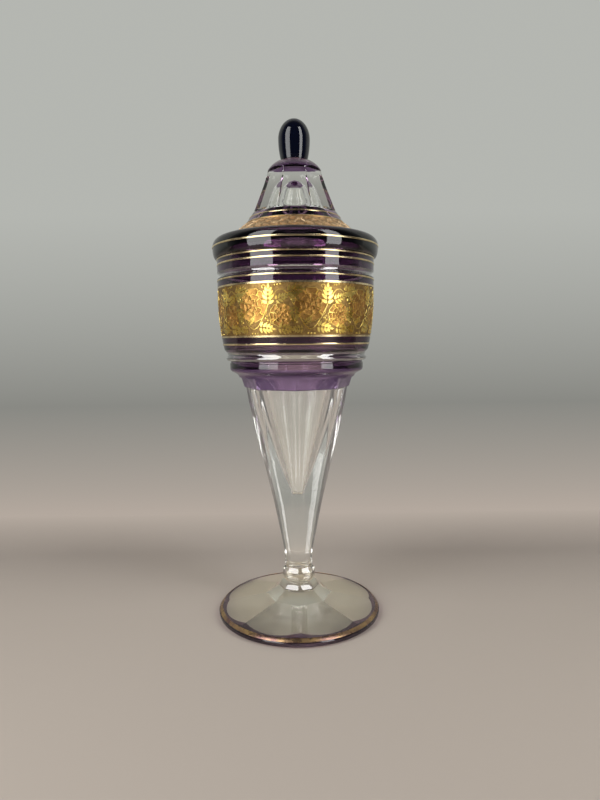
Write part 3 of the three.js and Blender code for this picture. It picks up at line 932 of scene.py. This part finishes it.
def berry(at, radius):
    bpy.ops.object.select_all(action="DESELECT")
    bpy.ops.mesh.primitive_uv_sphere_add(segments=10, ring_count=6, radius=radius)
    dot = bpy.context.object
    bpy.ops.object.mode_set(mode="EDIT")
    bpy.ops.mesh.select_all(action="SELECT")
    bpy.ops.mesh.bisect(plane_co=(0, 0, 0), plane_no=(0, 0, 1), use_fill=True, clear_inner=True)
    bpy.ops.mesh.select_all(action="SELECT")
    bpy.ops.transform.resize(value=(1, 1, RELIEF * 1.05 / radius), center_override=(0, 0, 0))
    bpy.ops.object.mode_set(mode="OBJECT")
    dot.data.transform(Matrix.Translation((*at, 0)))
    return dot


def tendril(points, width):
    """A thin raised stalk through the given points."""
    curve = bpy.data.curves.new("tendril", "CURVE")
    curve.dimensions = "3D"
    curve.bevel_depth = width / 2
    curve.bevel_resolution = 1
    curve.use_fill_caps = True
    spline = curve.splines.new("POLY")
    spline.points.add(len(points) - 1)
    for point, (u, v) in zip(spline.points, points):
        point.co = (u, v, 0, 1)
    stalk = bpy.data.objects.new("tendril", curve)
    bpy.context.collection.objects.link(stalk)
    select_alone(stalk)
    bpy.ops.object.convert(target="MESH")
    stalk = bpy.context.object
    stalk.data.transform(Matrix.Diagonal((1, 1, RELIEF * 1.3 / width, 1)))
    return stalk


def joined(name, pieces):
    bpy.ops.object.select_all(action="DESELECT")
    for piece in pieces:
        piece.select_set(True)
    bpy.context.view_layer.objects.active = pieces[0]
    bpy.ops.object.join()
    whole = bpy.context.object
    whole.name = name
    whole.data.name = name
    return whole


def repeated(motif, name, width, count):
    """The motif and its copies, side by side."""
    copies = [motif]
    for i in range(1, count):
        copy = motif.copy()
        copy.data = motif.data.copy()
        copy.data.transform(Matrix.Translation((width * i, 0, 0)))
        bpy.context.collection.objects.link(copy)
        copies.append(copy)
    return joined(name, copies)


def spiral(centre, start_radius, end_radius, start, turns, steps):
    points = []
    for i in range(steps + 1):
        share = i / steps
        radius = start_radius + (end_radius - start_radius) * share ** 0.8
        angle = start + 2 * math.pi * turns * share
        points.append((centre[0] + radius * math.cos(angle), centre[1] + radius * math.sin(angle)))
    return points


FRIEZE_REPEATS = 9
MOTIF_WIDTH = 2 * math.pi * CUP_RADIUS / FRIEZE_REPEATS
VINE_WAVE = 9.4


def scroll_motif():
    """One length of running vine: the petals of its blossoms, and apart from them all that is burnished."""
    width = MOTIF_WIDTH
    vine = [(width * i / 32, -VINE_WAVE * math.sin(2 * math.pi * i / 32)) for i in range(33)]
    large_petals, large_lines = blossom((width * 0.25, 2.0), 8.0)
    small_petals, small_lines = blossom((width * 0.75, -2.8), 5.6)
    burnished = [tendril(vine, 0.4), *large_lines, *small_lines]
    for at_u, at_v, degrees, size in (
        (15.6, 2.8, 88, 9.0),
        (25.6, 8.3, 6, 8.4),
        (28.2, 0.6, -86, 7.6),
        (11.0, -8.4, -8, 8.0),
        (21.0, -9.0, -8, 7.4),
        (19.8, 4.2, 22, 6.6),
        (3.2, -9.6, 178, 5.6),
        (0.2, 4.0, 112, 6.0),
        (4.6, -6.6, 40, 4.4),
    ):
        burnished += leaf((at_u, at_v), degrees, size)
    for at_u, at_v, size in (
        (14.2, -4.4, 0.7),
        (15.3, -5.4, 0.6),
        (15.0, -3.4, 0.5),
        (20.6, 11.4, 0.6),
        (22.0, 11.7, 0.5),
        (19.2, 11.3, 0.5),
        (27.4, 4.4, 0.7),
        (28.6, 5.2, 0.6),
        (27.9, 6.2, 0.5),
        (-0.4, -5.4, 0.6),
        (0.6, -6.3, 0.5),
        (7.6, -11.6, 0.5),
        (9.2, -11.6, 0.45),
        (6.0, -11.5, 0.45),
    ):
        burnished.append(berry((at_u, at_v), size))
    for centre, start, turns in (((13.2, 10.6), -60, 0.9), ((1.4, -3.0), 150, -0.9), ((17.6, -6.0), 60, 0.9)):
        burnished.append(tendril(spiral(centre, 1.5, 0.5, math.radians(start), turns, 12), 0.32))
    return joined("petal_motif", large_petals + small_petals), joined("burnished_motif", burnished)


def bend_round_cup(ornament, middle, depth):
    for vertex in ornament.data.vertices:
        along, up, out = vertex.co
        height = middle + up
        radius = wall_radius(height) - depth + out
        angle = along / CUP_RADIUS
        vertex.co = (radius * math.sin(angle) * MM, -radius * math.cos(angle) * MM, height * MM)


def make_bowl_frieze():
    ground_depth = FRIEZE_DEPTH - 0.2
    outline = wall_stretch(FRIEZE_LOW, FRIEZE_HIGH, 10, ground_depth)
    outline += list(reversed(wall_stretch(FRIEZE_LOW, FRIEZE_HIGH, 10, FRIEZE_DEPTH)))
    ground = smooth(turned_ring("frieze_ground", outline))
    give_materials(ground, ETCHED)
    place(ground, "jar", "etched_gilding", "bowl_frieze")
    petals, burnished = scroll_motif()
    for motif, name, finish in (
        (petals, "frieze_petals", BLOSSOM_GOLD),
        (burnished, "frieze_vine_and_leaves", SCROLL_GOLD),
    ):
        ornament = repeated(motif, name, MOTIF_WIDTH, FRIEZE_REPEATS)
        bend_round_cup(ornament, (FRIEZE_LOW + FRIEZE_HIGH) / 2, ground_depth)
        smooth(ornament)
        give_materials(ornament, finish)
        place(ornament, "jar", "polished_gilding")
    for name, bottom, top in (
        ("frieze_lower_border", FRIEZE_LOW, FRIEZE_LOW + 0.9),
        ("frieze_upper_border", FRIEZE_HIGH - 0.9, FRIEZE_HIGH),
    ):
        outer = wall_stretch(bottom, top, 2)
        border = turned_ring(name, outer + list(reversed(wall_stretch(bottom, top, 2, ground_depth))))
        smooth(border)
        give_materials(border, LINE_GOLD)
        place(border, "jar", "polished_gilding")


# Lid

SEAT_GAP = 0.04
RIM_RADIUS = widest("lid_rim_casing")
RIM_LOW = (RIM_RADIUS, low("lid_rim_gilt_line"))
RIM_HIGH_EDGE = (RIM_RADIUS, high("lid_rim_gilt_line"))
UNDERCUT = 1.6
CROWN = (39.5, MOUTH + 10.8)
SHOULDER_LOW = (34.6, MOUTH + 11.6)
SHOULDER_TOP = (25.9, MOUTH + 18.6)
BELL_FOOT = (22.9, MOUTH + 23.2)
LID_COLLAR_RADIUS = MOUTH_RADIUS - 0.7
CAP_RADIUS = 15.4
CAP_RISE = 10.6
CAP_CENTRE = MOUTH + 42
CAP_INSET = 1
CAP_SEAM_ANGLE = 17
FINIAL_BASE_RADIUS = 7.0
CAP_TOP_ANGLE = math.degrees(math.acos(FINIAL_BASE_RADIUS / CAP_RADIUS))


def rim_profile(inset, low_steps, high_steps):
    """The rounded rim from the seat to the crown, drawn in by an inset."""
    low_rise = RIM_LOW[1] - MOUTH - SEAT_GAP
    low_centre = (RIM_RADIUS - inset - UNDERCUT, RIM_LOW[1])
    high_width = RIM_RADIUS - inset - CROWN[0]
    high_rise = CROWN[1] - inset - RIM_HIGH_EDGE[1]
    return arc(low_centre, UNDERCUT, low_rise, -90, 0, low_steps) + arc(
        (CROWN[0], RIM_HIGH_EDGE[1]), high_width, high_rise, 0, 90, high_steps
    )


def cap_profile(inset, start, end, steps):
    return arc((0, CAP_CENTRE), CAP_RADIUS - inset, CAP_RISE - inset, start, end, steps)


CORE_LOW, CORE_TOP = offset(SHOULDER_LOW, SHOULDER_TOP, -CASING)
CORE_FOOT = offset(SHOULDER_TOP, BELL_FOOT, -CASING)[1]
LID_SEAM = [*rim_profile(CASING, 6, 8), CORE_LOW, CORE_TOP, CORE_FOOT, BELL_FOOT]
CAP_SEAM = [
    cap_profile(0, CAP_SEAM_ANGLE, CAP_SEAM_ANGLE, 1)[0],
    *cap_profile(CAP_INSET, CAP_SEAM_ANGLE, CAP_TOP_ANGLE, 10),
]


def lid_panels():
    reach = RIM_RADIUS + CUT_MARGIN
    flats = [
        (reach, MOUTH - CUT_MARGIN),
        (reach, SHOULDER_TOP[1]),
        (BELL_FOOT[0] + 2, MOUTH + 21.8),
        *smooth_through(
            [(21, MOUTH + 23.8), (18.2, MOUTH + 31.2), (15.6, MOUTH + 38.4), (13.85, MOUTH + 44.5)], 4
        ),
        *arc((15.85, MOUTH + 44.5), 2, 3, 175, 90, 5),
        (15.85, CAP_TOP + CUT_MARGIN),
    ]
    outline = [(flat / FLAT_SHARE, height) for flat, height in flats]
    return turned_solid("lid_panels", outline, PANELS, FLAT_TO_FRONT)


def make_lid_crystal():
    ceiling_low, ceiling_top = offset(SHOULDER_LOW, SHOULDER_TOP, -CASING - 4.6)
    seat = MOUTH + SEAT_GAP
    tip = [(0.3, MOUTH + 38), (3.0, MOUTH + 37.0), (5.8, MOUTH + 34.3), (7.0, MOUTH + 31.6)]
    flare = [tip[-1], (8.6, MOUTH + 27.4), (10.6, MOUTH + 22.8), ceiling_top, ceiling_low, (34.3, MOUTH)]
    outline = [
        *smooth_through(tip, 4)[:-1],
        *smooth_through(flare, 5),
        (LID_COLLAR_RADIUS - 2.6, MOUTH - 4.2),
        *arc((LID_COLLAR_RADIUS - 1.3, MOUTH - 4.2), 1.3, 0.3, 180, 360, 6),
        (LID_COLLAR_RADIUS, seat),
        *LID_SEAM,
        (BELL_FOOT[0], CAP_CENTRE - 2),
        *cap_profile(0, 0, CAP_SEAM_ANGLE, 3)[:-1],
        *CAP_SEAM,
    ]
    crystal = cut_with(turned_solid("lid_crystal", outline), lid_panels(), "INTERSECT")
    smooth(crystal)
    give_materials(
        crystal,
        CRYSTAL,
        (JOINT, lies_on(LID_SEAM)),
        (JOINT, lies_on(CAP_SEAM)),
        (JOINT, lies_level_at(CAP_SEAM[-1][1])),
    )
    place(crystal, "lid", "clear_glass", "lid_body")


def shoulder_line():
    length = math.hypot(BELL_FOOT[0] - SHOULDER_TOP[0], BELL_FOOT[1] - SHOULDER_TOP[1])
    reach = LINE_WIDTH / 2 / length
    return (
        between(SHOULDER_TOP, BELL_FOOT, 0.55 - reach),
        between(SHOULDER_TOP, BELL_FOOT, 0.55 + reach),
    )


def make_lid_casings():
    outline = [
        *rim_profile(0, 8, 12),
        SHOULDER_LOW,
        *offset(SHOULDER_LOW, SHOULDER_TOP, -FRIEZE_DEPTH),
        SHOULDER_TOP,
        *shoulder_line(),
        BELL_FOOT,
        *reversed(LID_SEAM[:-1]),
    ]
    rim = cut_with(turned_ring("lid_rim_amethyst", outline), lid_panels(), "INTERSECT")
    smooth(rim)
    give_materials(rim, LID_AMETHYST_WITH_PAINTED_SHADE, (JOINT, lies_on(LID_SEAM)))
    place(rim, "lid", "amethyst_glass", "lid_rim_casing")
    cap_outline = [
        *reversed(CAP_SEAM),
        *cap_profile(0, CAP_SEAM_ANGLE, CAP_TOP_ANGLE, 14)[1:],
    ]
    cap = cut_with(turned_solid("lid_cap_amethyst", cap_outline), lid_panels(), "INTERSECT")
    smooth(cap)
    give_materials(
        cap,
        LID_AMETHYST_WITH_PAINTED_SHADE,
        (JOINT, lies_on(CAP_SEAM)),
        (JOINT, lies_level_at(CAP_SEAM[-1][1])),
        (JOINT, lies_level_at(CAP_TOP)),
    )
    place(cap, "lid", "amethyst_glass", "lid_cap_casing")


SHOULDER_REPEATS = 22


def shoulder_motif(width):
    """One small wave of vine with a leaf on either side, for the narrow frieze of the lid."""
    wave = [(width * i / 16, 1.7 * math.sin(2 * math.pi * i / 16)) for i in range(17)]
    pieces = [tendril(wave, 0.45)]
    pieces += leaf((width * 0.12, 1.0), 42, 4.2)
    pieces += leaf((width * 0.62, -1.0), -42, 4.2)
    pieces += leaf((width * 0.42, -3.6), 150, 3.2)
    pieces += leaf((width * 0.92, 3.6), 210, 3.2)
    return joined("shoulder_motif", pieces)


def bend_round_shoulder(ornament, depth):
    low_in, top_in = offset(SHOULDER_LOW, SHOULDER_TOP, -depth)
    run, rise = top_in[0] - low_in[0], top_in[1] - low_in[1]
    length = math.hypot(run, rise)
    centre = between(low_in, top_in, 0.5)
    for vertex in ornament.data.vertices:
        along, up, out = vertex.co
        radius = centre[0] + (run * up + rise * out) / length
        height = centre[1] + (rise * up - run * out) / length
        angle = along / centre[0]
        vertex.co = (radius * math.sin(angle) * MM, -radius * math.cos(angle) * MM, height * MM)


def make_lid_frieze():
    ground_depth = FRIEZE_DEPTH - 0.2
    outline = [
        *offset(SHOULDER_LOW, SHOULDER_TOP, -ground_depth),
        *reversed(offset(SHOULDER_LOW, SHOULDER_TOP, -FRIEZE_DEPTH)),
    ]
    ground = smooth(turned_ring("lid_frieze_ground", outline))
    give_materials(ground, SHOULDER_ETCHED)
    place(ground, "lid", "etched_gilding", "lid_frieze")
    width = math.pi * (SHOULDER_LOW[0] + SHOULDER_TOP[0]) / SHOULDER_REPEATS
    ornament = repeated(shoulder_motif(width), "lid_frieze_scroll", width, SHOULDER_REPEATS)
    bend_round_shoulder(ornament, ground_depth)
    smooth(ornament)
    give_materials(ornament, SHOULDER_GOLD)
    place(ornament, "lid", "polished_gilding")
    for name, start, end in (("lid_frieze_lower_border", 0.0, 0.07), ("lid_frieze_upper_border", 0.93, 1.0)):
        outer = [between(SHOULDER_LOW, SHOULDER_TOP, start), between(SHOULDER_LOW, SHOULDER_TOP, end)]
        inner = offset(*outer, -ground_depth)
        border = smooth(turned_ring(name, outer + list(reversed(inner))))
        give_materials(border, LINE_GOLD)
        place(border, "lid", "polished_gilding")


def make_lid_lines():
    gilt_band("lid_shoulder_gilding", *shoulder_line(), "lid", "lid_shoulder_gilt_line")
    gilt_band("lid_rim_gilding", RIM_LOW, RIM_HIGH_EDGE, "lid", "lid_rim_gilt_line")


def make_finial():
    radius = widest("finial")
    top = high("finial")
    widest_at = CAP_TOP + 10.9
    base_angle = math.acos(FINIAL_BASE_RADIUS / radius)
    low_rise = (widest_at - CAP_TOP) / math.sin(base_angle)
    outline = [
        *arc((0, widest_at), radius, low_rise, -math.degrees(base_angle), 0, 14),
        *arc((0, widest_at), radius, top - widest_at, 0, 88, 20)[1:],
    ]
    finial = smooth(turned_solid("finial_egg", outline))
    give_materials(finial, FINIAL_AMETHYST, (FINIAL_ROOT, lies_level_at(CAP_TOP)))
    place(finial, "lid", "dark_amethyst_glass", "finial")


make_foot()
make_foot_rim()
make_merese()
make_stem()
make_funnel()
make_cup()
make_bowl_casing()
make_cup_lines()
make_bowl_frieze()
make_lid_crystal()
make_lid_casings()
make_lid_frieze()
make_lid_lines()
make_finial()

# Studio with a pale sweep, two tall soft boxes and a dim room

SWEEP_SIDE = 2.5
SWEEP_FRONT = -1.6
SWEEP_BACK = 0.24
SWEEP_CURVE = 0.28
SWEEP_TOP = 2.4
FLOOR_LEVEL = -0.0002
FLOOR_END = 0.09
GLOW_START = 0.19
LAMP_DISTANCE = 0.55
LAMP_HEIGHT = 0.95
LAMP_MIDDLE = 0.5


def studio_paper():
    """Pale paper that the lamps light on the floor, and that falls into shade and brightens again behind."""
    material, nodes, links = new_material("studio_paper")
    paper = nodes["Principled BSDF"]
    paper.inputs["Roughness"].default_value = 0.9
    axes = axes_of(nodes, links, "Object")
    way = combined(nodes, links, "ADD", axes["Y"], axes["Z"])
    upward = ramp_node(
        nodes,
        [
            (0.0, (0.56, 0.49, 0.42)),
            (0.2, (0.45, 0.39, 0.34)),
            (0.5, (0.25, 0.25, 0.23)),
            (0.85, (0.46, 0.47, 0.44)),
        ],
    )
    links.new(way, upward.inputs["Fac"])
    links.new(upward.outputs["Color"], paper.inputs["Base Color"])
    glow = nodes.new("ShaderNodeEmission")
    links.new(upward.outputs["Color"], glow.inputs["Color"])
    rays = nodes.new("ShaderNodeLightPath").outputs
    seen = combined(nodes, links, "ADD", rays["Is Camera Ray"], rays["Is Glossy Ray"])
    seen = combined(nodes, links, "ADD", seen, rays["Is Transmission Ray"], True)
    far = mapped(nodes, links, way, FLOOR_END, GLOW_START)
    share = combined(nodes, links, "MULTIPLY", seen, far)
    mix = nodes.new("ShaderNodeMixShader")
    links.new(share, mix.inputs["Fac"])
    links.new(paper.outputs[0], mix.inputs[1])
    links.new(glow.outputs[0], mix.inputs[2])
    links.new(mix.outputs[0], nodes["Material Output"].inputs["Surface"])
    return material


def make_sweep():
    bpy.ops.object.select_all(action="DESELECT")
    bpy.ops.mesh.primitive_grid_add(x_subdivisions=1, y_subdivisions=1, size=2)
    sweep = bpy.context.object
    sweep.name = "studio_sweep"
    mesh = sweep.data
    for vertex in mesh.vertices:
        vertex.co.x *= SWEEP_SIDE
        vertex.co.y = SWEEP_BACK if vertex.co.y > 0 else SWEEP_FRONT
        vertex.co.z = FLOOR_LEVEL
    bpy.ops.object.mode_set(mode="EDIT")
    bpy.ops.mesh.select_mode(type="EDGE")
    bpy.ops.mesh.select_all(action="DESELECT")
    bpy.ops.object.mode_set(mode="OBJECT")
    for edge in mesh.edges:
        edge.select = all(mesh.vertices[i].co.y > 0 for i in edge.vertices)
    bpy.ops.object.mode_set(mode="EDIT")
    path = arc((SWEEP_BACK, SWEEP_CURVE), SWEEP_CURVE, SWEEP_CURVE, -90, 0, 24)
    path.append((SWEEP_BACK + SWEEP_CURVE, SWEEP_TOP))
    for (y, z), (next_y, next_z) in zip(path, path[1:]):
        bpy.ops.mesh.extrude_region_move(
            TRANSFORM_OT_translate={"value": (0, next_y - y, next_z - z)}
        )
    bpy.ops.object.mode_set(mode="OBJECT")
    smooth(sweep)
    mesh.materials.clear()
    mesh.materials.append(studio_paper())


def softbox(name, azimuth, width, radiance):
    """A tall rectangular lamp that faces the jar, at an azimuth to the right of the camera."""
    light = bpy.data.lights.new(name, "AREA")
    light.shape = "RECTANGLE"
    light.size = width
    light.size_y = LAMP_HEIGHT
    light.energy = radiance * math.pi * width * LAMP_HEIGHT
    lamp = bpy.data.objects.new(name, light)
    bpy.context.collection.objects.link(lamp)
    angle = math.radians(azimuth)
    lamp.location = (LAMP_DISTANCE * math.sin(angle), -LAMP_DISTANCE * math.cos(angle), LAMP_MIDDLE)
    lamp.rotation_euler = (math.pi / 2, 0, angle)
    lamp.visible_camera = False
    return lamp


def make_room():
    world = bpy.data.worlds.new("studio_room")
    bpy.context.scene.world = world
    world.use_nodes = True
    nodes, links = world.node_tree.nodes, world.node_tree.links
    background = nodes["Background"]
    facing = mapped(nodes, links, axes_of(nodes, links, "Generated")["Y"], -0.1, 0.5)
    reflected = ramp_node(nodes, [(0, (0.05, 0.048, 0.058)), (1, (0.4, 0.4, 0.39))])
    through = ramp_node(nodes, [(0, (0.2, 0.2, 0.192)), (1, (0.45, 0.45, 0.44))])
    links.new(facing, reflected.inputs["Fac"])
    links.new(facing, through.inputs["Fac"])
    rays = nodes.new("ShaderNodeLightPath")
    by_glass = nodes.new("ShaderNodeMix")
    by_glass.data_type = "RGBA"
    links.new(rays.outputs["Is Transmission Ray"], by_glass.inputs["Factor"])
    links.new(reflected.outputs["Color"], by_glass.inputs["A"])
    links.new(through.outputs["Color"], by_glass.inputs["B"])
    by_eye = nodes.new("ShaderNodeMix")
    by_eye.data_type = "RGBA"
    links.new(rays.outputs["Is Camera Ray"], by_eye.inputs["Factor"])
    links.new(by_glass.outputs["Result"], by_eye.inputs["A"])
    by_eye.inputs["B"].default_value = (0.5, 0.51, 0.49, 1)
    links.new(by_eye.outputs["Result"], background.inputs["Color"])


make_sweep()
softbox("left_softbox", azimuth=-47, width=0.33, radiance=4.6)
softbox("right_softbox", azimuth=51, width=0.2, radiance=5.2)
make_room()
